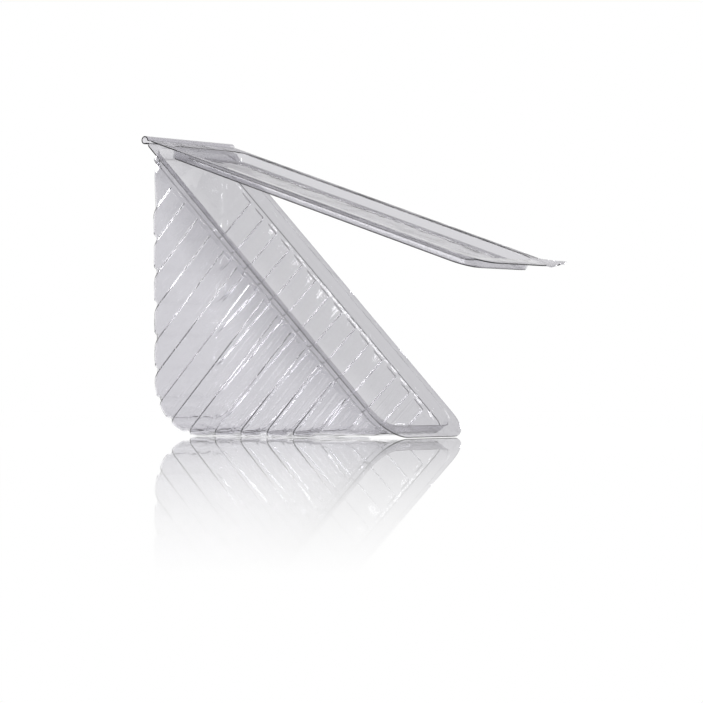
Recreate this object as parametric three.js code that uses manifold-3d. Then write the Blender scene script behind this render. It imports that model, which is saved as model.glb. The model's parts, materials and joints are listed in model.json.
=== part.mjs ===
// Clear hinged sandwich wedge: a ribbed triangular tray and a shallow plug lid,
// thermoformed in one sheet and joined by a rolled hinge bead along the top edge.
// Millimetres, +Z up. The tray stands on its bottom wall, the rim slopes down towards +X.

import * as THREE from 'three';
import { mergeVertices } from 'three/addons/utils/BufferGeometryUtils.js';
import Module from 'manifold-3d';

const wasm = await Module();
wasm.setup();

// Sheet and rim
const SHEET = 0.5;             // wall thickness of the formed sheet
const RIM_LENGTH = 176;        // along the slope, from the hinge axis to the toe
const RIM_WIDTH = 62;          // across the flat lip, outside to outside
const RIM_SLOPE_DEG = 45;      // the rim plane below the horizontal
const RIM_GAP = 0.4;           // between the two lips when the lid is closed
const SIDE_LIP = 4.4;          // flat lip along the two long sides
const HINGE_LIP = 4.6;         // flat lip next to the hinge
const TOE_LIP = 7;             // flat lip at the toe
const TOE_CORNER_R = 13.5;     // corners of the lip at the toe
const HINGE_CORNER_R = 2.5;    // corners of the lip next to the hinge
const STEP_DEPTH = 4.8;        // depth of the recess that takes the lid's plug
const STEP_TAPER = 0.5;        // how much the recess closes in over its depth
const LEDGE = 1.2;             // floor of the recess around the food space

// Food space
const BACK_LEAN_DEG = 0.8;     // the back wall leans out towards its foot
const BACK_OFFSET = 0.6;       // the back wall behind the hinge axis, at hinge height
const CORNER_R = 22;           // between the back wall and the bottom
const EDGE_R = 4.5;            // between the triangular walls and the square ones
const DRAFT_DEG = 2.6;         // draft of the triangular walls
const END_R = 8;               // plan corners of the food space at its thin ends

// Ribs, bands that wrap round the tray square to the rim
const RIB_PITCH = 9.7;
const RIB_COUNT = 14;
const RIB_BASE = 6.6;          // width of a rib where it leaves the wall
const RIB_CROWN = 5;           // width of its flat crown
const RIB_HEIGHT = 0.85;
const RIB_CENTRE = 87.4;       // middle of the row of ribs, along the rim
const RIB_START = 1.2;         // plain band between the ledge and the rib ends
const RIB_END_RAMP = 0.8;      // slope of the rib ends
const TOE_RIBS_SIDE_ONLY = 1;  // ribs at the toe that stop short of the bottom wall
const STAND_RIB_FROM_TOE = 2;  // the bottom rib that holds the origin, counted from the toe

// Hinge and lid
const BEAD_R = 1.75;           // outer radius of the rolled hinge bead
const BEAD_MOUTH_DEG = 42;     // opening of the roll, between the two lips
const HINGE_GAP = 0.3;         // between the bead and the lid
const LID_OPEN_DEG = 26.7;     // the lid above its closed position
const PLUG_DEPTH = 4.4;
const PLUG_CLEARANCE = 0.45;   // all round, in the recess
const PLUG_HINGE_EDGE = 9.5;   // from the hinge axis to the plug
const PLUG_TAPER = 0.6;        // how much the plug closes in over its depth
const PLUG_CORNER_R = 5;       // plan corners of the plug next to the hinge
const PANEL_RISE = 1.6;        // raised panel in the plug's floor
const PANEL_BORDER = 5;        // from the plug's edge to the panel
const TAB_REACH = 8;           // opening tab beyond the rounded corner
const TAB_HALF_WIDTH = 8;
const TAB_TIP_R = 3;
const TAB_BEND_DEG = 16;
const TAB_ROOT = 4;            // the tab's flat root, back into the lip
const TAB_SEAM = 0.4;          // the tip's own start, inside the root

// Fineness of curves
const ARC_STEPS = 8;
const EDGE_STEPS = 4;
const CORNER_STEP = 2.6;       // longest stretch between sections in the back corner

const rad = THREE.MathUtils.degToRad;
const slope = rad(RIM_SLOPE_DEG);
const lipTop = -RIM_GAP / 2;
const lipUnder = lipTop - SHEET;
const hingeHeight = RIM_LENGTH * Math.sin(slope) - lipUnder * Math.cos(slope);
const recessHalf = RIM_WIDTH / 2 - SIDE_LIP;
const bodyHalf = recessHalf - STEP_TAPER - LEDGE + SHEET;
const ledgeUnder = STEP_DEPTH + SHEET;

const clear = new THREE.MeshStandardMaterial({
  color: 0xd6d5da, roughness: 0.12, metalness: 0, transparent: true, opacity: 0.4,
});

// Solids from closed meshes

function toManifold(geometry) {
  const bare = new THREE.BufferGeometry();
  bare.setAttribute('position', geometry.getAttribute('position').clone());
  if (geometry.index) bare.setIndex(geometry.index);
  const merged = mergeVertices(bare, 1e-5);
  return new wasm.Manifold(new wasm.Mesh({
    numProp: 3,
    vertProperties: new Float32Array(merged.attributes.position.array),
    triVerts: new Uint32Array(merged.index.array),
  }));
}

function toGeometry(solid) {
  const { vertProperties, triVerts } = solid.getMesh();
  const geometry = new THREE.BufferGeometry();
  geometry.setAttribute('position', new THREE.BufferAttribute(new Float32Array(vertProperties), 3));
  geometry.setIndex(new THREE.BufferAttribute(new Uint32Array(triVerts), 1));
  geometry.computeVertexNormals();
  return geometry;
}

// A skin over rings of equal point count, closed by a flat cap at each end.
// capPlane turns a ring's point into the plane of the caps.
function loft(rings, capPlane) {
  const count = rings[0].length;
  const positions = rings.flat().flatMap((p) => [p.x, p.y, p.z]);
  const index = [];
  for (let r = 0; r < rings.length - 1; r++) {
    for (let i = 0; i < count; i++) {
      const j = (i + 1) % count;
      const [a, b] = [r * count + i, r * count + j];
      const [c, d] = [a + count, b + count];
      index.push(a, b, d, a, d, c);
    }
  }
  const last = (rings.length - 1) * count;
  const outline = rings[0].map(capPlane);
  for (const [a, b, c] of THREE.ShapeUtils.triangulateShape(outline, [])) index.push(a, c, b);
  const lastOutline = rings.at(-1).map(capPlane);
  for (const [a, b, c] of THREE.ShapeUtils.triangulateShape(lastOutline, [])) {
    index.push(last + a, last + b, last + c);
  }
  const geometry = new THREE.BufferGeometry();
  geometry.setAttribute('position', new THREE.Float32BufferAttribute(positions, 3));
  geometry.setIndex(index);
  return geometry;
}

// A plan outline between two ends: square corners rounded by their own radius at each end
function planOutline(start, end, half, startR, endR) {
  const corners = [
    { x: start + startR, y: -half + startR, r: startR, from: 180 },
    { x: end - endR, y: -half + endR, r: endR, from: 270 },
    { x: end - endR, y: half - endR, r: endR, from: 0 },
    { x: start + startR, y: half - startR, r: startR, from: 90 },
  ];
  const points = [];
  for (const { x, y, r, from } of corners) {
    for (let i = 0; i <= ARC_STEPS; i++) {
      const angle = rad(from + (90 * i) / ARC_STEPS);
      points.push(new THREE.Vector2(x + r * Math.cos(angle), y + r * Math.sin(angle)));
    }
  }
  return points;
}

// A tapered block between two levels. The two outlines hold equal numbers of points.
function block(low, lowZ, high, highZ) {
  const ring = (outline, z) => outline.map((p) => new THREE.Vector3(p.x, p.y, z));
  return toManifold(loft([ring(low, lowZ), ring(high, highZ)], (p) => new THREE.Vector2(p.x, p.y)));
}

// The tray's side profile, as depth under the rim plane at a place along the rim

const lean = Math.tan(rad(BACK_LEAN_DEG));
const backRun = Math.sin(slope) - Math.cos(slope) * lean;
const backSlope = (Math.cos(slope) + Math.sin(slope) * lean) / backRun;
const backStart = BACK_OFFSET / backRun;
const floorSlope = Math.tan(slope);
const floorStart = (hingeHeight - RIB_HEIGHT) / Math.cos(slope);
const backLength = Math.hypot(1, backSlope);
const floorLength = Math.hypot(1, floorSlope);
const cornerAlong = (floorStart - backStart + CORNER_R * (backLength - floorLength))
  / (backSlope + floorSlope);
const cornerDepth = backStart + backSlope * cornerAlong - CORNER_R * backLength;
const cornerFrom = cornerAlong - (CORNER_R * backSlope) / backLength;
const cornerTo = cornerAlong + (CORNER_R * floorSlope) / floorLength;

function profile(along) {
  if (along <= cornerFrom) {
    return { depth: backStart + backSlope * along, stretch: backLength };
  }
  if (along >= cornerTo) {
    return { depth: floorStart - floorSlope * along, stretch: floorLength };
  }
  const rise = Math.sqrt(CORNER_R ** 2 - (along - cornerAlong) ** 2);
  return { depth: cornerDepth + rise, stretch: CORNER_R / rise };
}

// Ribs

const ribPlaces = Array.from({ length: RIB_COUNT },
  (_, i) => RIB_CENTRE + (i - (RIB_COUNT - 1) / 2) * RIB_PITCH);
const bottomRibs = ribPlaces.slice(0, RIB_COUNT - TOE_RIBS_SIDE_ONLY);

function ribHeight(along, places) {
  const flank = (RIB_BASE - RIB_CROWN) / 2;
  const near = Math.min(...places.map((place) => Math.abs(along - place)));
  return RIB_HEIGHT * THREE.MathUtils.clamp((RIB_BASE / 2 - near) / flank, 0, 1);
}

// One cross-section of the food space, square to the rim. inset is 0 for the outside
// of the sheet and SHEET for its inside.
function section(along, top, inset, from, to) {
  const { depth, stretch } = profile(along);
  const sideRib = ribHeight(along, ribPlaces);
  const floor = depth + (ribHeight(along, bottomRibs) - inset) * stretch;
  const intoEnd = Math.max(END_R - (along - from), END_R - (to - along), 0);
  const planCorner = END_R - Math.sqrt(END_R ** 2 - Math.min(intoEnd, END_R) ** 2);
  const half = (d) => bodyHalf - inset - planCorner - Math.tan(rad(DRAFT_DEG)) * (d - ledgeUnder);
  const edge = Math.min(EDGE_R - inset, (floor - top) / (2 * stretch));
  const edgeTop = floor - edge * stretch;
  const plain = Math.min(ledgeUnder + RIB_START, top + (edgeTop - top) / 3);
  const ramped = Math.min(plain + RIB_END_RAMP, top + (2 * (edgeTop - top)) / 3);
  const side = [
    [half(top), top],
    [half(plain), plain],
    [half(ramped) + sideRib, ramped],
  ];
  for (let i = 0; i <= EDGE_STEPS; i++) {
    const angle = (Math.PI / 2) * (i / EDGE_STEPS);
    const across = half(edgeTop) + sideRib - edge * (1 - Math.cos(angle));
    side.push([across, edgeTop + edge * stretch * Math.sin(angle)]);
  }
  const points = side.map(([y, d]) => new THREE.Vector3(along, -y, -d));
  points.push(...side.reverse().map(([y, d]) => new THREE.Vector3(along, y, -d)));
  return points;
}

function foodSpace(top, inset) {
  const start = Math.max((top - backStart) / backSlope + inset * backLength / backSlope,
    HINGE_LIP + inset) + SHEET / 2;
  const end = Math.min((floorStart - top) / floorSlope - inset * floorLength / floorSlope,
    RIM_LENGTH - TOE_LIP - inset) - SHEET / 2;
  const places = new Set([start, end]);
  for (let i = 1; i <= 3; i++) {
    places.add(start + (END_R * i) / 3);
    places.add(end - (END_R * i) / 3);
  }
  for (const rib of ribPlaces) {
    for (const half of [RIB_BASE / 2, RIB_CROWN / 2]) {
      places.add(rib - half);
      places.add(rib + half);
    }
  }
  for (let s = cornerFrom; s <= cornerTo; s += CORNER_STEP) places.add(s);
  const sorted = [...places].filter((s) => s >= start && s <= end).sort((a, b) => a - b);
  const spaced = sorted.filter((s, i) => i === 0 || s - sorted[i - 1] > 0.2);
  const rings = spaced.map((s) => section(s, top, inset, start, end));
  return toManifold(loft(rings, (p) => new THREE.Vector2(p.y, p.z)));
}

// The rolled bead, an open ring round the hinge axis
function hingeBead() {
  const shape = new THREE.Shape();
  shape.absarc(0, 0, BEAD_R, rad(BEAD_MOUTH_DEG), rad(360), false);
  shape.absarc(0, 0, BEAD_R - SHEET, rad(360), rad(BEAD_MOUTH_DEG), true);
  const geometry = new THREE.ExtrudeGeometry(shape, {
    depth: RIM_WIDTH, bevelEnabled: false, curveSegments: 2 * ARC_STEPS,
  });
  geometry.translate(0, 0, -RIM_WIDTH / 2);
  geometry.rotateX(Math.PI / 2);
  return toManifold(geometry);
}

function trayGeometry() {
  const lip = planOutline(BEAD_R - SHEET / 2, RIM_LENGTH, RIM_WIDTH / 2, HINGE_CORNER_R,
    TOE_CORNER_R);
  const recess = (grow) => planOutline(HINGE_LIP - grow, RIM_LENGTH - TOE_LIP + grow,
    recessHalf + grow, HINGE_CORNER_R + grow, TOE_CORNER_R - SIDE_LIP + grow);
  const over = 1;
  const outside = block(recess(SHEET - STEP_TAPER), -ledgeUnder, recess(SHEET), lipTop);
  const inside = block(recess(-STEP_TAPER), -STEP_DEPTH, recess(0), lipTop + over);
  return toGeometry(block(lip, lipUnder, lip, lipTop)
    .add(outside)
    .add(foodSpace(STEP_DEPTH, 0))
    .add(hingeBead())
    .subtract(inside)
    .subtract(foodSpace(STEP_DEPTH - over, SHEET)));
}

// The lid, as it lies on the rim plane when closed, its plug hanging below

// A flat root fills the lip out to the rounded corner, and the tip bends up from there.
function openingTab() {
  const root = new THREE.Shape();
  root.moveTo(-TAB_ROOT, -TAB_HALF_WIDTH);
  root.lineTo(0, -TAB_HALF_WIDTH);
  root.lineTo(0, TAB_HALF_WIDTH);
  root.lineTo(-TAB_ROOT, TAB_HALF_WIDTH);
  const tip = new THREE.Shape();
  tip.moveTo(-TAB_SEAM, -TAB_HALF_WIDTH);
  tip.lineTo(TAB_REACH - TAB_TIP_R, -TAB_TIP_R);
  tip.absarc(TAB_REACH - TAB_TIP_R, 0, TAB_TIP_R, -Math.PI / 2, Math.PI / 2, false);
  tip.lineTo(-TAB_SEAM, TAB_HALF_WIDTH);
  const sheet = { depth: SHEET, bevelEnabled: false, curveSegments: EDGE_STEPS };
  const flat = new THREE.ExtrudeGeometry(root, sheet);
  const bent = new THREE.ExtrudeGeometry(tip, sheet);
  bent.rotateY(-rad(TAB_BEND_DEG));
  bent.translate(0, 0, TAB_SEAM * Math.sin(rad(TAB_BEND_DEG)));
  const toCorner = TOE_CORNER_R * (Math.SQRT1_2 - 1);
  for (const geometry of [flat, bent]) {
    geometry.rotateZ(rad(45));
    geometry.translate(RIM_LENGTH + toCorner, RIM_WIDTH / 2 + toCorner, -lipTop);
  }
  return toManifold(flat).add(toManifold(bent));
}

function lidGeometry() {
  const under = RIM_GAP / 2;
  const lidStart = BEAD_R + HINGE_GAP;
  const lip = planOutline(lidStart, RIM_LENGTH, RIM_WIDTH / 2, HINGE_CORNER_R, TOE_CORNER_R);
  const plugTipR = TOE_CORNER_R - SIDE_LIP;
  const plug = (inset) => planOutline(PLUG_HINGE_EDGE + inset,
    RIM_LENGTH - TOE_LIP - PLUG_CLEARANCE - inset,
    recessHalf - PLUG_CLEARANCE - inset, PLUG_CORNER_R, plugTipR);
  const over = 1;
  const floor = under - PLUG_DEPTH;
  const outside = block(plug(PLUG_TAPER), floor, plug(0), under + SHEET);
  const inside = block(plug(PLUG_TAPER + SHEET), floor + SHEET, plug(SHEET), under + SHEET + over);
  const panel = (inset, low, high) => block(plug(inset), low, plug(inset + PANEL_RISE), high);
  return toGeometry(block(lip, under, lip, under + SHEET)
    .add(outside)
    .add(openingTab())
    .subtract(inside)
    .add(panel(PANEL_BORDER, floor, floor + PANEL_RISE + SHEET))
    .subtract(panel(PANEL_BORDER + SHEET, floor - SHEET, floor + PANEL_RISE)));
}

// Assembly. The origin is on the floor, in the middle of one of the bottom ribs.

function place(name, geometry, belowHorizontalDeg) {
  const mesh = new THREE.Mesh(geometry, clear.clone());
  mesh.name = name;
  mesh.position.set(0, 0, hingeHeight);
  mesh.rotation.y = rad(belowHorizontalDeg);
  return mesh;
}

const standRib = bottomRibs.at(-STAND_RIB_FROM_TOE);
const standX = (standRib - hingeHeight * Math.sin(slope)) / Math.cos(slope);

const container = new THREE.Group();
container.name = 'sandwich_container';
container.position.x = -standX;
container.add(place('base_tray', trayGeometry(), RIM_SLOPE_DEG));
container.add(place('lid', lidGeometry(), RIM_SLOPE_DEG - LID_OPEN_DEG));

export default container;
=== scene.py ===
# %% [markdown]
# A clear hinged sandwich wedge.
# The real pack is one sheet of clear plastic, heated and drawn into a mould: a ribbed
# triangular tray, a shallow lid, and a rolled bead between them that works as a hinge.
# Here the sheet is made in three pieces, because the lid moves: the tray, the lid, and the
# hinge web between the two.

# %% Load the frame
import json
import math
from collections import namedtuple

import bmesh
import bpy
from mathutils import Matrix, Vector


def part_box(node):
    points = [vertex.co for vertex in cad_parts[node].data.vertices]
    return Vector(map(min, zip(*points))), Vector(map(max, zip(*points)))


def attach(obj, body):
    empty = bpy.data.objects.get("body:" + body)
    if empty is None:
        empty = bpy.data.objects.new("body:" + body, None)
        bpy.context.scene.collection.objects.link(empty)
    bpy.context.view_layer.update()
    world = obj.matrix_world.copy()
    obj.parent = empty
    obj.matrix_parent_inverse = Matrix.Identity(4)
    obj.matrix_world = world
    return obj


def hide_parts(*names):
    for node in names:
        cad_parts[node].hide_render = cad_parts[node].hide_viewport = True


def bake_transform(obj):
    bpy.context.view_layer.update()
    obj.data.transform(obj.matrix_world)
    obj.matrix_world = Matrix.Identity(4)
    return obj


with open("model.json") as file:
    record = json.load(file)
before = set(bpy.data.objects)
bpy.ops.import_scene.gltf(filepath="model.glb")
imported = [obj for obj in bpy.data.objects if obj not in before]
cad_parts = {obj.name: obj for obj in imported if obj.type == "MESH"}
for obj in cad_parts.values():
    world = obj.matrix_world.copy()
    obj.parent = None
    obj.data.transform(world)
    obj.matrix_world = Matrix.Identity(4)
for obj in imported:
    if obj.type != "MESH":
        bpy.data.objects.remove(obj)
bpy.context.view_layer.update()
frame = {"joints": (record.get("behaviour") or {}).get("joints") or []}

MM = 0.001
lid_hinge = frame["joints"][0]
HINGE = Vector(lid_hinge["pos_m"])
LID_OPEN = math.radians(lid_hinge["range_deg"][1])
TRAY_LOW, TRAY_HIGH = (Vector(corner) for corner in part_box("base_tray"))
print("hinge axis at", [round(c, 4) for c in HINGE], "lid open by", lid_hinge["range_deg"][1])

# %% [markdown]
# Sizes. The sheet is modelled lying as its mould does: X runs along the rim from the hinge
# to the toe, Y across, and Z straight out of the mould, with the rim plane at zero. Every
# wall, step and rib is then a matter of depth alone, and the finished piece is turned to
# the slope of the rim in one move at the end. All sizes are of the outside of the sheet.

# %% Sizes of the formed sheet
SHEET = 0.5 * MM
SLOPE = math.radians(45)
RIM_HALF = (TRAY_HIGH.y - TRAY_LOW.y) / 2
LIP_UNDER = -0.7 * MM
LEDGE_UNDER = -5.3 * MM
RIM_END = (HINGE.z + LIP_UNDER * math.cos(SLOPE)) / math.sin(SLOPE)
print("rim", round(RIM_END / MM, 1), "x", round(2 * RIM_HALF / MM, 1), "mm")

# %% [markdown]
# Outlines. Seen from above, the food space, the step, the lip and the lid's plug are all
# rectangles with round corners, a little apart from each other. One outline holds where it
# starts and ends along the rim, half its width, and its corner radius at each end.

# %% Outlines seen from above
Outline = namedtuple("Outline", "start end half start_r end_r")


def grown(outline, by):
    """The outline, larger all round."""
    start, end, half, start_r, end_r = outline
    return Outline(start - by, end + by, half + by, start_r + by, end_r + by)


def carry(point, old, new):
    """Moves a point of one outline to the same place on another."""
    at_end = point.x > (old.start + old.end) / 2
    centres = []
    for ring in (old, new):
        radius = ring.end_r if at_end else ring.start_r
        first = ring.start + ring.start_r
        centres.append((first, ring.end - ring.end_r, ring.half - radius, radius))
    (from_a, from_b, from_y, _), (to_a, to_b, to_y, to_r) = centres
    side = 1 if point.y >= 0 else -1
    past = point.x - from_b if at_end else from_a - point.x
    out = abs(point.y) - from_y
    if past > 0 and out > 0:
        angle = math.atan2(out, past)
        x = to_r * math.cos(angle)
        x = to_b + x if at_end else to_a - x
        return Vector((x, side * (to_y + to_r * math.sin(angle)), 0))
    if past > 0:
        return Vector((new.end if at_end else new.start, point.y * to_y / from_y, 0))
    share = (point.x - from_a) / (from_b - from_a)
    return Vector((to_a + share * (to_b - to_a), side * new.half, 0))


# %% [markdown]
# Laying the sheet. The real sheet starts flat and is drawn over the mould, and the mesh does
# the same: a flat grid is laid against the mould row by row. With no mouse, each point is
# found by its row and column in the grid.

# %% Lay a grid against the mould
MERGE = 0.01 * MM


def lay_grid(name, rows, section):
    """Makes a grid and lays it: section(row) lists the points of one row."""
    laid = [section(row) for row in rows]
    bpy.ops.object.select_all(action="DESELECT")
    bpy.ops.mesh.primitive_grid_add(
        x_subdivisions=len(rows) - 1, y_subdivisions=len(laid[0]) - 1, size=1
    )
    piece = bpy.context.object
    piece.name = piece.data.name = name
    bpy.ops.object.mode_set(mode="EDIT")
    mesh = bmesh.from_edit_mesh(piece.data)
    for v in mesh.verts:
        row = round((v.co.x + 0.5) * (len(rows) - 1))
        column = round((v.co.y + 0.5) * (len(laid[0]) - 1))
        v.co = laid[row][column]
    bmesh.update_edit_mesh(piece.data)
    bpy.ops.mesh.select_all(action="SELECT")
    bpy.ops.mesh.remove_doubles(threshold=MERGE)
    return piece


# %% [markdown]
# Drawing out. The free edge of the laid grid is pulled outwards with extrude, ring after
# ring, to make the ledge, the step and the lip. Extrude joins each new ring to the last, so
# the sheet stays one surface. A bridge between separate rings would need them all drawn first.

# %% Draw the free edge out
def pick_free_edge(piece, near=None):
    """Selects the edges that have one face only, all round or where near(middle) holds."""
    bpy.ops.mesh.select_mode(type="EDGE")
    bpy.ops.mesh.select_all(action="DESELECT")
    mesh = bmesh.from_edit_mesh(piece.data)
    for edge in mesh.edges:
        middle = (edge.verts[0].co + edge.verts[1].co) / 2
        edge.select_set(len(edge.link_faces) == 1 and (near is None or near(middle)))
    bmesh.update_edit_mesh(piece.data)


def draw_out(piece, old, rings):
    """Extrudes the free edge once for each ring, given as (outline, level)."""
    for new, level in rings:
        pick_free_edge(piece)
        bpy.ops.mesh.extrude_region_move()
        mesh = bmesh.from_edit_mesh(piece.data)
        for v in mesh.verts:
            if v.select:
                v.co = carry(v.co, old, new) + Vector((0, 0, level))
        bmesh.update_edit_mesh(piece.data)
        old = new


# %% [markdown]
# Finishing is the same for each piece. Solidify gives the one surface the real thickness of
# the sheet. Then the piece is turned about the hinge and moved to it, and both are applied,
# so that its place is in its mesh. The tray and the lid are drawn with their underside on
# the mould, so it has to face outwards before the sheet thickens inwards from it.

# %% Thickness and place
INWARDS = -1
BOTH_WAYS = 0
SMOOTH_BELOW = math.radians(50)


def face_mould(piece):
    """Merges doubles and points the faces of the open sheet down into the mould."""
    bpy.ops.mesh.select_all(action="SELECT")
    bpy.ops.mesh.remove_doubles(threshold=MERGE)
    bpy.ops.mesh.normals_make_consistent(inside=False)
    mesh = bmesh.from_edit_mesh(piece.data)
    if sum(face.normal.z * face.calc_area() for face in mesh.faces) > 0:
        bpy.ops.mesh.flip_normals()


def finish_sheet(piece, side, slope):
    """Leaves edit mode, thickens the sheet to that side of its surface and puts it in place."""
    bpy.ops.object.mode_set(mode="OBJECT")
    wall = piece.modifiers.new("Sheet", "SOLIDIFY")
    wall.thickness = SHEET
    wall.offset = side
    bpy.ops.object.modifier_apply(modifier=wall.name)
    bpy.ops.transform.rotate(
        value=-slope, orient_axis="Y", orient_type="GLOBAL", center_override=(0, 0, 0)
    )
    bpy.ops.transform.translate(value=HINGE)
    bpy.ops.object.transform_apply(location=True, rotation=True, scale=True)
    bpy.ops.object.shade_smooth_by_angle(angle=SMOOTH_BELOW)
    points = [v.co for v in piece.data.vertices]
    low = [round(min(p[i] for p in points) / MM, 1) for i in range(3)]
    high = [round(max(p[i] for p in points) / MM, 1) for i in range(3)]
    print(piece.name, len(piece.data.polygons), "faces,", low, "to", high, "mm")


# %% [markdown]
# The side profile of the tray. Under the rim the food space is a triangle with a rounded
# corner: the back wall leans out by less than a degree, and the bottom wall lies level on
# the floor. The depth of both under the rim is worked out for any place along it, and the
# round corner is the circle that touches both lines.

# %% Side profile of the tray
RIB_HEIGHT = 0.85 * MM
LEAN = math.tan(math.radians(0.8))
BACK_OUT = 0.6 * MM
CORNER = 22 * MM
BACK_RUN = math.sin(SLOPE) - math.cos(SLOPE) * LEAN
BACK_RISE = (math.cos(SLOPE) + math.sin(SLOPE) * LEAN) / BACK_RUN
BACK_START = BACK_OUT / BACK_RUN
FLOOR_START = (HINGE.z - RIB_HEIGHT) / math.cos(SLOPE)
FLOOR_RISE = math.tan(SLOPE)
BACK_RATIO = math.hypot(1, BACK_RISE)
FLOOR_RATIO = math.hypot(1, FLOOR_RISE)
CORNER_AT = FLOOR_START - BACK_START + CORNER * (BACK_RATIO - FLOOR_RATIO)
CORNER_AT /= BACK_RISE + FLOOR_RISE
CORNER_DEEP = BACK_START + BACK_RISE * CORNER_AT - CORNER * BACK_RATIO
CORNER_FROM = CORNER_AT - CORNER * BACK_RISE / BACK_RATIO
CORNER_TO = CORNER_AT + CORNER * FLOOR_RISE / FLOOR_RATIO


def profile(along):
    """Depth under the rim plane, and how much a wall's thickness is stretched in depth."""
    if along <= CORNER_FROM:
        return BACK_START + BACK_RISE * along, BACK_RATIO
    if along >= CORNER_TO:
        return FLOOR_START - FLOOR_RISE * along, FLOOR_RATIO
    rise = math.sqrt(CORNER**2 - (along - CORNER_AT) ** 2)
    return CORNER_DEEP + rise, CORNER / rise


print("deepest", round(profile(CORNER_AT)[0] / MM, 1), "mm under the rim")

# %% [markdown]
# Ribs stiffen the thin sheet. They are bands square to the rim that run down one side wall,
# across the bottom and up the other side, each with a flat crown and soft flanks. Across the
# back wall they are softer waves. The last rib, at the toe, has no bottom to cross.

# %% Ribs
RIB_PITCH = 9.7 * MM
RIB_COUNT = 14
RIB_MIDDLE = 87.4 * MM
RIB_FOOT = 3.9 * MM
RIB_CROWN = 2.6 * MM
BACK_FOOT = 4.7 * MM
BACK_CROWN = 1.8 * MM
RIBS = [RIB_MIDDLE + (i - (RIB_COUNT - 1) / 2) * RIB_PITCH for i in range(RIB_COUNT)]
BOTTOM_RIBS = RIBS[:-1]


def smooth_step(value):
    """0 below 0, 1 above 1, and a soft slope between."""
    value = min(max(value, 0), 1)
    return value * value * (3 - 2 * value)


def rib(along, ribs, foot=RIB_FOOT, crown=RIB_CROWN):
    """How high the nearest rib stands here, from 0 to 1."""
    near = min(abs(along - middle) for middle in ribs)
    return smooth_step((foot - near) / (foot - crown))


def bottom_rib(along):
    """The same across the back wall and the bottom, from a soft wave to a full rib."""
    wave = rib(along, BOTTOM_RIBS, BACK_FOOT, BACK_CROWN)
    share = smooth_step((along - CORNER_FROM) / (CORNER_TO - CORNER_FROM))
    return wave + (rib(along, BOTTOM_RIBS) - wave) * share


print(RIB_COUNT, "ribs from", round(RIBS[0] / MM, 1), "to", round(RIBS[-1] / MM, 1), "mm")

# %% [markdown]
# The side wall. From the ledge it first runs plain, then the ribs begin with a short ramp,
# and the wall is drafted so that the sheet comes off the mould. One more level close to
# each end of the ramp holds its shape, or smooth shading would spread it over the wall.
# Where the wall is low, at the thin ends, its levels close up.

# %% Levels down the side wall
PLAIN_BAND = 1.2 * MM
RIB_RAMP = 1.2 * MM
RAMP_STEPS = 4
RAMP_HOLD = 0.25 * MM
WALL_STEPS = 5


def wall_levels(height, wall_end):
    """Each level's depth under the ledge, and how much of the rib stands there."""
    plain = min(PLAIN_BAND, height / 4)
    ramp = min(RIB_RAMP, height / 4)
    hold = min(RAMP_HOLD, height / 20)
    levels = [(0, 0), (plain - hold, 0)]
    for i in range(RAMP_STEPS + 1):
        levels.append((plain + ramp * i / RAMP_STEPS, smooth_step(i / RAMP_STEPS)))
    under = min(plain + ramp + hold, wall_end)
    for i in range(WALL_STEPS + 1):
        levels.append((under + (wall_end - under) * i / WALL_STEPS, 1))
    return levels


# %% [markdown]
# One cross-section of the food space: down one side wall, round the lower edge, across the
# bottom, and up again. At its two thin ends the space closes with round corners, both as
# seen from above and from the side.

# %% Cross-section of the food space
FOOD = Outline(5 * MM, RIM_END - 7.4 * MM, RIM_HALF - 5.6 * MM, 8 * MM, 8 * MM)
END_ROUND = 2 * MM
EDGE_R = 4.5 * MM
DRAFT = math.tan(math.radians(2.6))
EDGE_STEPS = 6
BOTTOM_STEPS = 10
DEEP_EDGE = -LEDGE_UNDER


def end_depth(distance):
    """How deep the space may be this far from its thin end: a quarter round."""
    if distance >= END_ROUND:
        return math.inf
    return math.sqrt(max(END_ROUND**2 - (END_ROUND - distance) ** 2, 0))


def food_section(along):
    """The points of one row, from one ledge down, across and up to the other."""
    depth, stretch = profile(along)
    depth += bottom_rib(along) * RIB_HEIGHT * stretch
    to_end = min(along - FOOD.start, FOOD.end - along)
    depth = max(min(depth, DEEP_EDGE + end_depth(to_end)), DEEP_EDGE)
    height = depth - DEEP_EDGE
    edge = min(EDGE_R, height / (2 * stretch))
    side_rib = rib(along, RIBS) * RIB_HEIGHT
    into_corner = min(max(FOOD.end_r - to_end, 0), FOOD.end_r)
    half = FOOD.half - FOOD.end_r + math.sqrt(FOOD.end_r**2 - into_corner**2)
    levels = wall_levels(height, height - edge * stretch)
    side = [(half - DRAFT * down + side_rib * part, down) for down, part in levels]
    foot, low = side[-1]
    for i in range(1, EDGE_STEPS + 1):
        turn = math.pi / 2 * i / EDGE_STEPS
        side.append((foot - edge * (1 - math.cos(turn)), low + edge * stretch * math.sin(turn)))
    flat, low = side[-1]
    across = [(flat * (1 - 2 * i / BOTTOM_STEPS), low) for i in range(1, BOTTOM_STEPS)]
    row = side + across + [(-y, down) for y, down in reversed(side)]
    return [Vector((along, y, -DEEP_EDGE - down)) for y, down in row]


print(len(food_section(RIB_MIDDLE)), "points in a row")

# %% [markdown]
# The rows of the tray's grid lie closest where the sheet bends most: at the flanks of the
# ribs, round the back corner, and round the corners at both ends. On the flats they are wide
# apart, so that no faces are spent there.

# %% Rows of the tray's grid
CORNER_ROWS = 8
CORNER_STEP = 1.6 * MM
FLANK_ROWS = 5
LEAST_STEP = 0.12 * MM


def quarter_round(radius, count):
    """How far into a round corner each of its rows lies."""
    return [radius * (1 - math.cos(math.pi / 2 * i / count)) for i in range(count + 1)]


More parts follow.
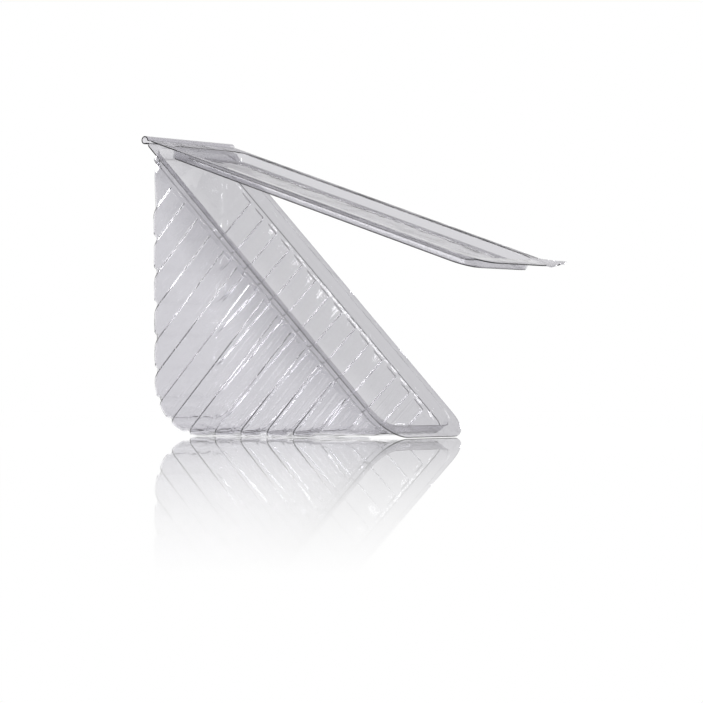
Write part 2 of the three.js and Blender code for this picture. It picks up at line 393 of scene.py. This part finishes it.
def tray_rows():
    """Places along the rim, with those that lie too close to the last left out."""
    rows = {FOOD.end}
    for reach in quarter_round(FOOD.end_r, CORNER_ROWS):
        rows |= {FOOD.start + reach, FOOD.end - reach}
    for middle in RIBS:
        for i in range(FLANK_ROWS + 1):
            half = RIB_CROWN + (RIB_FOOT - RIB_CROWN) * i / FLANK_ROWS
            rows |= {middle - half, middle + half}
        rows |= {middle, middle - RIB_CROWN / 2, middle + RIB_CROWN / 2}
    steps = int((CORNER_TO - CORNER_FROM) / CORNER_STEP)
    rows |= {CORNER_FROM + (CORNER_TO - CORNER_FROM) * i / steps for i in range(steps + 1)}
    kept = []
    for row in sorted(rows):
        inside = FOOD.start <= row <= FOOD.end
        if inside and (not kept or row - kept[-1] > LEAST_STEP or row == FOOD.end):
            kept.append(row)
    return kept


print(len(tray_rows()), "rows")

# %% [markdown]
# The tray. The grid is laid, and its free edge is drawn out into the ledge that the lid's
# plug sits over, the step up to the rim, and the flat lip. Rings close together at each
# bend leave a small round there, as the mould does, where a sharp edge would look cut.

# %% Make the tray
STEP_START = 4.6 * MM
STEP_END_IN = 7 * MM
STEP_SIDE_IN = 4.4 * MM
STEP_DRAFT = 0.5 * MM
STEP_FOOT = Outline(STEP_START, RIM_END - STEP_END_IN, RIM_HALF - STEP_SIDE_IN, 4 * MM, 9.1 * MM)
STEP_TOP = grown(STEP_FOOT, STEP_DRAFT)
LIP_EDGE = Outline(1.6 * MM, RIM_END, RIM_HALF, 2.5 * MM, 13.5 * MM)
FILLET = 0.5 * MM
SOFT = 0.15 * MM
tray_shell = lay_grid("tray_shell", tray_rows(), food_section)
draw_out(tray_shell, FOOD, [
    (grown(STEP_FOOT, -FILLET), LEDGE_UNDER),
    (grown(STEP_FOOT, -SOFT), LEDGE_UNDER + SOFT),
    (STEP_FOOT, LEDGE_UNDER + FILLET),
    (STEP_TOP, LIP_UNDER - FILLET),
    (grown(STEP_TOP, SOFT), LIP_UNDER - SOFT),
    (grown(STEP_TOP, FILLET), LIP_UNDER),
    (grown(LIP_EDGE, -FILLET), LIP_UNDER),
    (LIP_EDGE, LIP_UNDER),
])
face_mould(tray_shell)
finish_sheet(tray_shell, INWARDS, SLOPE)

# %% [markdown]
# The lid's panel. The lid has a shallow plug that drops into the tray's recess when it
# closes, and the middle of the plug is raised again, which keeps the thin panel from
# bulging. The raised panel is the grid, with its own round corners.

# %% Outlines and panel of the lid
LID_UNDER = 0.2 * MM
PLUG_DEPTH = 4.4 * MM
PLUG_UNDER = LID_UNDER - PLUG_DEPTH
PLUG_START = 9.5 * MM
PLUG_CLEAR = 0.45 * MM
PLUG_DRAFT = 0.6 * MM
PLUG_IN = PLUG_CLEAR + PLUG_DRAFT
PLUG_FLOOR = Outline(
    PLUG_START + PLUG_DRAFT, STEP_FOOT.end - PLUG_IN, STEP_FOOT.half - PLUG_IN, 5 * MM, 9.1 * MM
)
PLUG_TOP = grown(PLUG_FLOOR, PLUG_DRAFT)
PANEL_IN = 4.4 * MM
PANEL_DRAFT = 1.6 * MM
PANEL_RISE = 1.6 * MM
PANEL_FOOT = grown(PLUG_FLOOR, -PANEL_IN)._replace(start_r=3.6 * MM, end_r=4.7 * MM)
PANEL = grown(PANEL_FOOT, -PANEL_DRAFT)
LID_EDGE = Outline(2.1 * MM, RIM_END, RIM_HALF, 2.5 * MM, 13.5 * MM)
PANEL_ROWS = 40
PANEL_COLUMNS = 12


def panel_section(along):
    """One row across the raised panel, shorter in its round corners."""
    near_end = along > (PANEL.start + PANEL.end) / 2
    radius = PANEL.end_r if near_end else PANEL.start_r
    to_end = PANEL.end - along if near_end else along - PANEL.start
    into = min(max(radius - to_end, 0), radius)
    reach = PANEL.half - radius + math.sqrt(radius**2 - into**2)
    spots = [2 * i / PANEL_COLUMNS - 1 for i in range(PANEL_COLUMNS + 1)]
    return [Vector((along, reach * spot, PLUG_UNDER + PANEL_RISE)) for spot in spots]


def panel_rows():
    """Places along the panel for its rows, closer in its corners."""
    first = [PANEL.start + reach for reach in quarter_round(PANEL.start_r, CORNER_ROWS)]
    last = [PANEL.end - reach for reach in reversed(quarter_round(PANEL.end_r, CORNER_ROWS))]
    step = (last[0] - first[-1]) / PANEL_ROWS
    return first + [first[-1] + step * i for i in range(1, PANEL_ROWS)] + last


print("panel", round((PANEL.end - PANEL.start) / MM, 1), "x", round(2 * PANEL.half / MM, 1), "mm")

# %% [markdown]
# The lid. From the raised panel the free edge is drawn out down to the plug's floor, up the
# plug's wall, and into the flat lip that lies on the tray's.

# %% Make the lid
lid_shell = lay_grid("lid_shell", panel_rows(), panel_section)
draw_out(lid_shell, PANEL, [
    (grown(PANEL, SOFT), PLUG_UNDER + PANEL_RISE - SOFT / 2),
    (grown(PANEL_FOOT, -SOFT), PLUG_UNDER + SOFT / 2),
    (grown(PANEL_FOOT, FILLET), PLUG_UNDER),
    (grown(PLUG_FLOOR, -FILLET), PLUG_UNDER),
    (grown(PLUG_FLOOR, -SOFT), PLUG_UNDER + SOFT),
    (PLUG_FLOOR, PLUG_UNDER + FILLET),
    (PLUG_TOP, LID_UNDER - FILLET),
    (grown(PLUG_TOP, SOFT), LID_UNDER - SOFT),
    (grown(PLUG_TOP, FILLET), LID_UNDER),
    (grown(LID_EDGE, -FILLET), LID_UNDER),
    (LID_EDGE, LID_UNDER),
])
print("plug", round(PLUG_DEPTH / MM, 1), "mm deep")

# %% [markdown]
# The opening tab. At one corner of the toe the lip runs on into a small tab, bent up a
# little so that a finger gets under it. Its few edges are the outermost edges of the lip's
# round corner, extruded outwards and narrowed to a round tip.

# %% Draw out the opening tab
TAB_REACH = 8 * MM
TAB_BEND = math.radians(16)
TAB_HALF = 8 * MM
TAB_TIP = 3 * MM
TAB_BLUNT = 0.5 * MM
TAB_BACK = 3 * MM
TAB_STEPS = 8
TAB_STRAIGHT = TAB_REACH - TAB_TIP
CORNER_OUT = Vector((1, 1, 0)).normalized()
CORNER_SIDE = Vector((-1, 1, 0)).normalized()
CORNER_IN = LID_EDGE.end_r * (1 - math.sqrt(0.5))
LIP_CORNER = Vector((RIM_END - CORNER_IN, RIM_HALF - CORNER_IN, 0))


def tab_room(out):
    """Half the tab's width this far out: tapered, then a round tip."""
    if out < TAB_STRAIGHT:
        return TAB_HALF - (TAB_HALF - TAB_TIP) * out / TAB_STRAIGHT
    return math.sqrt(max(TAB_TIP**2 - (out - TAB_STRAIGHT) ** 2, TAB_BLUNT**2))


def at_tab(middle):
    """Whether an edge of the lip belongs to the tab's root."""
    place = middle - LIP_CORNER
    return abs(place.dot(CORNER_SIDE)) < TAB_HALF and place.dot(CORNER_OUT) > -TAB_BACK


pick_free_edge(lid_shell, at_tab)
for i in range(TAB_STEPS + 1):
    bpy.ops.mesh.extrude_region_move()
    lid_mesh = bmesh.from_edit_mesh(lid_shell.data)
    out = TAB_REACH * i / TAB_STEPS
    ring = [v for v in lid_mesh.verts if v.select]
    sides = [(v.co - LIP_CORNER).dot(CORNER_SIDE) for v in ring]
    narrow = min(1, tab_room(out) / max(abs(side) for side in sides))
    for v, side in zip(ring, sides):
        v.co = LIP_CORNER + CORNER_SIDE * side * narrow + CORNER_OUT * out * math.cos(TAB_BEND)
        v.co.z = LID_UNDER + out * math.sin(TAB_BEND)
    bmesh.update_edit_mesh(lid_shell.data)
face_mould(lid_shell)
finish_sheet(lid_shell, INWARDS, SLOPE - LID_OPEN)

# %% [markdown]
# The hinge web. Along the top edge the sheet is rolled into a small open bead that joins
# the two lips. Its section is a loop from the tray's lip round to the lid's, and the sheet
# is laid along it, row by row across the pack.

# %% Make the hinge web
BEAD_MIDDLE = 1.5 * MM
JOIN = 0.05 * MM
WEB_FROM = math.radians(-17)
WEB_TO = math.radians(42 - 360)
WEB_TURNS = 30
WEB_ROWS = 16


def web_section():
    """The section of the bead, in the draw frame, from the tray's lip to the lid's."""
    points = [Vector((LIP_EDGE.start + JOIN, 0, LIP_UNDER + SHEET / 2))]
    for i in range(WEB_TURNS + 1):
        turn = WEB_FROM + (WEB_TO - WEB_FROM) * i / WEB_TURNS
        points.append(Vector((BEAD_MIDDLE * math.cos(turn), 0, BEAD_MIDDLE * math.sin(turn))))
    lid_lip = Vector((LID_EDGE.start + JOIN, 0, LID_UNDER + SHEET / 2))
    lid_lip.rotate(Matrix.Rotation(-LID_OPEN, 3, "Y"))
    return points + [lid_lip]


hinge_web = lay_grid(
    "hinge_web",
    [RIM_HALF * (2 * i / WEB_ROWS - 1) for i in range(WEB_ROWS + 1)],
    lambda across: [point + Vector((0, across, 0)) for point in web_section()],
)
finish_sheet(hinge_web, BOTH_WAYS, SLOPE)

# %% [markdown]
# The line across the web. It crosses the bead square to the middle of the two lips, between
# the tray's side of the bead and the lid's. Its direction is only worked out and printed:
# nothing bends the web with the lid. The web stays where it was laid, and the tray and the lid
# go to their bodies in place of the CAD parts, which are hidden.

# %% The line across the web, and the bodies
LID_SIDE = LID_OPEN + math.radians(10)
blend_turn = (WEB_FROM + LID_SIDE) / 2 + math.pi / 2
across_web = Vector((math.cos(blend_turn), 0, math.sin(blend_turn)))
across_web.rotate(Matrix.Rotation(SLOPE, 3, "Y"))
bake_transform(hinge_web)
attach(tray_shell, "tray")
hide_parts("base_tray")
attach(lid_shell, "lid")
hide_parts("lid")
print("web bends across", [round(c, 2) for c in across_web])

# %% [markdown]
# Nodes. A material is a small tree of nodes. These helpers add one node, one step of
# arithmetic or one noise, so that the trees of the plastic, the floor and the room read as
# short recipes.

# %% Helpers for materials
def start_material(name):
    """A new material with an empty tree."""
    material = bpy.data.materials.new(name)
    material.use_nodes = True
    material.node_tree.nodes.clear()
    return material, material.node_tree


def add(tree, kind, **settings):
    """Adds a node and sets its options."""
    node = tree.nodes.new("ShaderNode" + kind)
    for key, value in settings.items():
        setattr(node, key, value)
    return node


def work_out(tree, operation, *values):
    """Adds a Math node. Each value is a number or what another node gives."""
    node = add(tree, "Math", operation=operation)
    for socket, value in zip(node.inputs, values):
        if isinstance(value, (int, float)):
            socket.default_value = value
        else:
            tree.links.new(value, socket)
    return node.outputs["Value"]


def noise(tree, vector, scale, detail):
    """A noise with about that many waves to the metre."""
    node = add(tree, "TexNoise")
    node.inputs["Scale"].default_value = scale
    node.inputs["Detail"].default_value = detail
    tree.links.new(vector, node.inputs["Vector"])
    return node.outputs["Fac"]


# %% [markdown]
# The grey of the sheet. Each wall takes a faint grey tint. The sheet thins where it was
# drawn deepest, so the tint is darker near the rim. It is a little darker on one side too,
# and a low noise makes it uneven.

# %% Tint of the sheet
TINT_WAVES = 28
TINT_UNEVEN = 0.5
DRAWN_THIN = 55 * MM
SIDE_CHANGE = 14
TINT_FROM = 0.2


def sheet_tint(tree, place, moved, thick, thin):
    """The colour of the plastic, from its thick grey to its thin one."""
    out_of_mould = add(tree, "VectorMath", operation="DOT_PRODUCT")
    out_of_mould.inputs[1].default_value = (-math.sin(SLOPE), 0, -math.cos(SLOPE))
    tree.links.new(place, out_of_mould.inputs[0])
    rim_depth = -(HINGE.x + HINGE.z) * math.sin(SLOPE)
    stretch = add(tree, "MapRange", interpolation_type="SMOOTHSTEP")
    stretch.inputs["From Min"].default_value = rim_depth
    stretch.inputs["From Max"].default_value = rim_depth + DRAWN_THIN
    tree.links.new(out_of_mould.outputs["Value"], stretch.inputs["Value"])
    low_noise = noise(tree, moved, TINT_WAVES, 2)
    uneven = work_out(tree, "MULTIPLY_ADD", low_noise, TINT_UNEVEN, stretch.outputs["Result"])
    axes = add(tree, "SeparateXYZ")
    tree.links.new(place, axes.inputs["Vector"])
    sided = work_out(tree, "MULTIPLY_ADD", axes.outputs["Y"], -SIDE_CHANGE, uneven)
    tint = add(tree, "ValToRGB")
    tint.color_ramp.elements[0].position = TINT_FROM
    tint.color_ramp.elements[0].color = (*thick, 1)
    tint.color_ramp.elements[1].position = 1.0
    tint.color_ramp.elements[1].color = (*thin, 1)
    tree.links.new(sided, tint.inputs["Fac"])
    return tint.outputs["Color"]


# %% [markdown]
# Gloss and waves. The drawn sheet is smooth but never quite flat. Its gloss changes a little
# from place to place, and it has low waves, stretched along the way the sheet was pulled,
# which break its reflections into uneven streaks. A bump is enough for both: the waves are
# far too low to change the outline.

# %% Gloss and waves of the sheet
GLOSS_WAVES = 90
SMOOTHEST, DULLEST = 0.01, 0.06
STREAK_WAVES = 110
STREAK_LENGTH = 5
STREAK_STRENGTH = 0.45


def sheet_gloss(tree, moved):
    """The roughness of the plastic."""
    gloss = add(tree, "MapRange")
    gloss.inputs["To Min"].default_value = SMOOTHEST
    gloss.inputs["To Max"].default_value = DULLEST
    tree.links.new(noise(tree, moved, GLOSS_WAVES, 3), gloss.inputs["Value"])
    return gloss.outputs["Result"]


def sheet_waves(tree, moved, wave):
    """The bumped normal of the plastic, with waves of that height."""
    drawn = add(tree, "Mapping", vector_type="TEXTURE")
    drawn.inputs["Rotation"].default_value = (0, SLOPE, 0)
    drawn.inputs["Scale"].default_value = (1, 1, STREAK_LENGTH)
    tree.links.new(moved, drawn.inputs["Vector"])
    waves = add(tree, "Bump")
    waves.inputs["Strength"].default_value = STREAK_STRENGTH
    waves.inputs["Distance"].default_value = wave
    streaks = noise(tree, drawn.outputs["Vector"], STREAK_WAVES, 1)
    tree.links.new(streaks, waves.inputs["Height"])
    return waves.outputs["Normal"]


# %% [markdown]
# The clear plastic. It is glass-like: it lets light through and bends it a little. For
# shadow rays it is transparent instead, so that it casts only a pale shadow, where a glass
# material would throw a black one.

# %% Clear sheet material
SHADOW_TINT = (0.9, 0.9, 0.91, 1)


def clear_sheet(name, seed, wave, thick, thin):
    """The material of one formed piece: the height of its waves, and its grey near the rim
    and where it is drawn thin. The seed moves its noise."""
    material, tree = start_material(name)
    place = add(tree, "TexCoord").outputs["Object"]
    mapping = add(tree, "Mapping")
    mapping.inputs["Location"].default_value = (seed, seed * 0.7, seed * 0.3)
    tree.links.new(place, mapping.inputs["Vector"])
    moved = mapping.outputs["Vector"]
    plastic = add(tree, "BsdfPrincipled")
    plastic.inputs["Transmission Weight"].default_value = 1.0
    plastic.inputs["IOR"].default_value = 1.45
    tree.links.new(sheet_tint(tree, place, moved, thick, thin), plastic.inputs["Base Color"])
    tree.links.new(sheet_gloss(tree, moved), plastic.inputs["Roughness"])
    tree.links.new(sheet_waves(tree, moved, wave), plastic.inputs["Normal"])
    see_through = add(tree, "BsdfTransparent")
    see_through.inputs["Color"].default_value = SHADOW_TINT
    mix = add(tree, "MixShader")
    tree.links.new(add(tree, "LightPath").outputs["Is Shadow Ray"], mix.inputs["Fac"])
    tree.links.new(plastic.outputs["BSDF"], mix.inputs[1])
    tree.links.new(see_through.outputs["BSDF"], mix.inputs[2])
    tree.links.new(mix.outputs["Shader"], add(tree, "OutputMaterial").inputs["Surface"])
    return material


# %% [markdown]
# Each piece gets its own material. The lid is hardly drawn, so its grey changes little. The
# tray is drawn deep: its walls are wavier and change from a darker grey to a lighter one.

# %% Dress the pieces
TRAY_THICK, TRAY_THIN = (0.59, 0.585, 0.61), (0.79, 0.785, 0.81)
LID_THICK, LID_THIN = (0.69, 0.685, 0.71), (0.74, 0.735, 0.76)
for piece, seed, wave, thick, thin in (
    (tray_shell, 0.0, 1.0 * MM, TRAY_THICK, TRAY_THIN),
    (lid_shell, 1.3, 0.2 * MM, LID_THICK, LID_THIN),
    (hinge_web, 2.1, 0.05 * MM, TRAY_THIN, TRAY_THIN),
):
    piece.data.materials.clear()
    piece.data.materials.append(clear_sheet("clear_" + piece.name, seed, wave, thick, thin))
    print(piece.name, "is", piece.data.materials[0].name)

# %% [markdown]
# The floor's own white. For the camera, and for what is seen in and through the plastic,
# most of the floor's white is its own and not the lamps', and all of it further out, so that
# the floor runs into the background with no edge. Close to the pack a share stays matt, and
# there the pack's soft shadow shows.

# %% Floor plane and its white
FLOOR_SIZE = 12
FLOOR_DROP = 0.2 * MM
MATT_WHITE = (0.9, 0.9, 0.9, 1)
PURE_WHITE = (1, 1, 1, 1)
OWN_NEAR, OWN_FAR = 0.1, 0.35
OWN_LEAST = 0.7
bpy.ops.object.select_all(action="DESELECT")
bpy.ops.mesh.primitive_plane_add(size=FLOOR_SIZE, location=(0, 0, -FLOOR_DROP))
floor = bpy.context.object
floor.name = "floor"
bpy.ops.object.transform_apply(location=True, rotation=True, scale=True)


def floor_white(tree, distance):
    """The floor's ground: a matt white and its own, by the kind of ray and the distance."""
    matt = add(tree, "BsdfDiffuse")
    matt.inputs["Color"].default_value = MATT_WHITE
    own = add(tree, "Emission")
    own.inputs["Color"].default_value = PURE_WHITE
    rays = add(tree, "LightPath").outputs
    through = work_out(tree, "MAXIMUM", rays["Is Glossy Ray"], rays["Is Transmission Ray"])
    seen = work_out(tree, "MAXIMUM", rays["Is Camera Ray"], through)
    own_share = add(tree, "MapRange")
    own_share.inputs["From Min"].default_value = OWN_NEAR
    own_share.inputs["From Max"].default_value = OWN_FAR
    own_share.inputs["To Min"].default_value = OWN_LEAST
    own_share.inputs["To Max"].default_value = 1
    tree.links.new(distance, own_share.inputs["Value"])
    ground = add(tree, "MixShader")
    share = work_out(tree, "MULTIPLY", seen, own_share.outputs["Result"])
    tree.links.new(share, ground.inputs["Fac"])
    tree.links.new(matt.outputs["BSDF"], ground.inputs[1])
    tree.links.new(own.outputs["Emission"], ground.inputs[2])
    return ground.outputs["Shader"]


print("floor", FLOOR_SIZE, "m wide,", round(FLOOR_DROP / MM, 1), "mm below the pack")

# %% [markdown]
# The floor's mirror. A polished floor keeps a mirror image of the pack, which fades with the
# square of the distance. It shows at a low view only: Layer Weight tells how flat the view
# is, and a high power of it is near one just over the floor and near nothing from above.

# %% Mirror in the floor
MIRROR = 1.0
MIRROR_REACH = 1.04
GRAZING = 8
white, tree = start_material("white_floor")
from_middle = add(tree, "VectorMath", operation="LENGTH")
tree.links.new(add(tree, "TexCoord").outputs["Object"], from_middle.inputs[0])
distance = from_middle.outputs["Value"]
fade = add(tree, "MapRange")
fade.inputs["From Min"].default_value = 0
fade.inputs["From Max"].default_value = MIRROR_REACH**2
fade.inputs["To Min"].default_value = MIRROR
fade.inputs["To Max"].default_value = 0
tree.links.new(work_out(tree, "POWER", distance, 2), fade.inputs["Value"])
slant = add(tree, "LayerWeight")
slant.inputs["Blend"].default_value = 0.5
grazing = work_out(tree, "POWER", slant.outputs["Facing"], GRAZING)
mirror = add(tree, "BsdfGlossy")
mirror.inputs["Color"].default_value = PURE_WHITE
mirror.inputs["Roughness"].default_value = 0.0
surface = add(tree, "MixShader")
tree.links.new(work_out(tree, "MULTIPLY", grazing, fade.outputs["Result"]), surface.inputs["Fac"])
tree.links.new(floor_white(tree, distance), surface.inputs[1])
tree.links.new(mirror.outputs["BSDF"], surface.inputs[2])
tree.links.new(surface.outputs["Shader"], add(tree, "OutputMaterial").inputs["Surface"])
floor.data.materials.append(white)
print("the mirror reaches", MIRROR_REACH, "m")

# %% [markdown]
# The room. The background is white for the camera. In and through the plastic the room is
# white near the horizon and greyer higher up, because clear plastic is seen only by what it
# bends and mirrors: in an all-white room its edges would vanish.

# %% World
WHITE_TO, GREY_FROM = 0.08, 0.32
ROOM_GREY = (0.64, 0.63, 0.65, 1)
world = bpy.data.worlds.new("studio")
bpy.context.scene.world = world
world.use_nodes = True
tree = world.node_tree
tree.nodes.clear()
direction = add(tree, "SeparateXYZ")
tree.links.new(add(tree, "TexCoord").outputs["Generated"], direction.inputs["Vector"])
height = add(tree, "ValToRGB")
height.color_ramp.elements[0].position = WHITE_TO
height.color_ramp.elements[0].color = PURE_WHITE
height.color_ramp.elements[1].position = GREY_FROM
height.color_ramp.elements[1].color = ROOM_GREY
tree.links.new(direction.outputs["Z"], height.inputs["Fac"])
room = add(tree, "Background")
tree.links.new(height.outputs["Color"], room.inputs["Color"])
backdrop = add(tree, "Background")
backdrop.inputs["Color"].default_value = PURE_WHITE
pick_room = add(tree, "MixShader")
tree.links.new(add(tree, "LightPath").outputs["Is Camera Ray"], pick_room.inputs["Fac"])
tree.links.new(room.outputs["Background"], pick_room.inputs[1])
tree.links.new(backdrop.outputs["Background"], pick_room.inputs[2])
tree.links.new(pick_room.outputs["Shader"], add(tree, "OutputWorld").inputs["Surface"])
print("the room is grey above", GREY_FROM)

# %% [markdown]
# Lamps. A wide soft box above gives the even light. A long, low one on the left draws the
# white streaks down the flanks of the ribs, and two small ones, in front and at the right,
# put a little gloss on the near wall and the rim. The camera doesn't see the boxes.

# %% Soft boxes
def soft_box(name, place, aim, size, power):
    """An area lamp at a place, turned to face a point."""
    data = bpy.data.lights.new(name, "AREA")
    data.shape = "RECTANGLE"
    data.size, data.size_y = size
    data.energy = power
    lamp = bpy.data.objects.new(name, data)
    bpy.context.scene.collection.objects.link(lamp)
    lamp.location = place
    lamp.visible_camera = False
    lamp.rotation_euler = (Vector(aim) - Vector(place)).to_track_quat("-Z", "Y").to_euler()
    print(name, power, "W")


WALL_AIM = (0, 0, 0.06)
soft_box("top_box", place=(0.1, 0.1, 1.2), aim=(0, 0, 0.05), size=(0.9, 0.9), power=9)
soft_box("left_box", place=(-1.2, 0.1, 0.5), aim=WALL_AIM, size=(0.9, 0.12), power=3.2)
soft_box("low_box", place=(-0.6, -1.25, 0.26), aim=(0, 0, 0.07), size=(0.22, 0.1), power=0.9)
soft_box("right_box", place=(1.25, -0.84, 0.2), aim=WALL_AIM, size=(0.3, 0.3), power=4.5)

# %% [markdown]
# The camera stands level, low over the floor and far away with a long lens, so that the
# pack shows its side with little perspective. The shift only raises the frame. Its focal
# length and horizon are in pixels of the photo, which is square.

# %% Camera
PHOTO = 703
FOCUS = 3480
HORIZON = 380
TURN = math.radians(34.15)
FROM_HINGE = 62.5 * MM
EYE_HEIGHT = 23.5 * MM
STAND_BACK = 1.4624
STAND_RIGHT = 18.3 * MM
SENSOR = 36
forward = Vector((-math.sin(TURN), math.cos(TURN), 0))
right = Vector((math.cos(TURN), math.sin(TURN), 0))
looked_at = Vector((HINGE.x + FROM_HINGE, 0, EYE_HEIGHT))
data = bpy.data.cameras.new("camera")
camera = bpy.data.objects.new("camera", data)
bpy.context.scene.collection.objects.link(camera)
camera.location = looked_at - forward * STAND_BACK + right * STAND_RIGHT
camera.rotation_euler = (math.pi / 2, 0, TURN)
data.sensor_width = SENSOR
data.lens = FOCUS / PHOTO * SENSOR
data.shift_y = (HORIZON - PHOTO / 2) / PHOTO
data.clip_start = 10 * MM
bpy.context.scene.camera = camera
bpy.context.scene.view_settings.view_transform = "Standard"
print("lens", round(data.lens, 1), "mm")
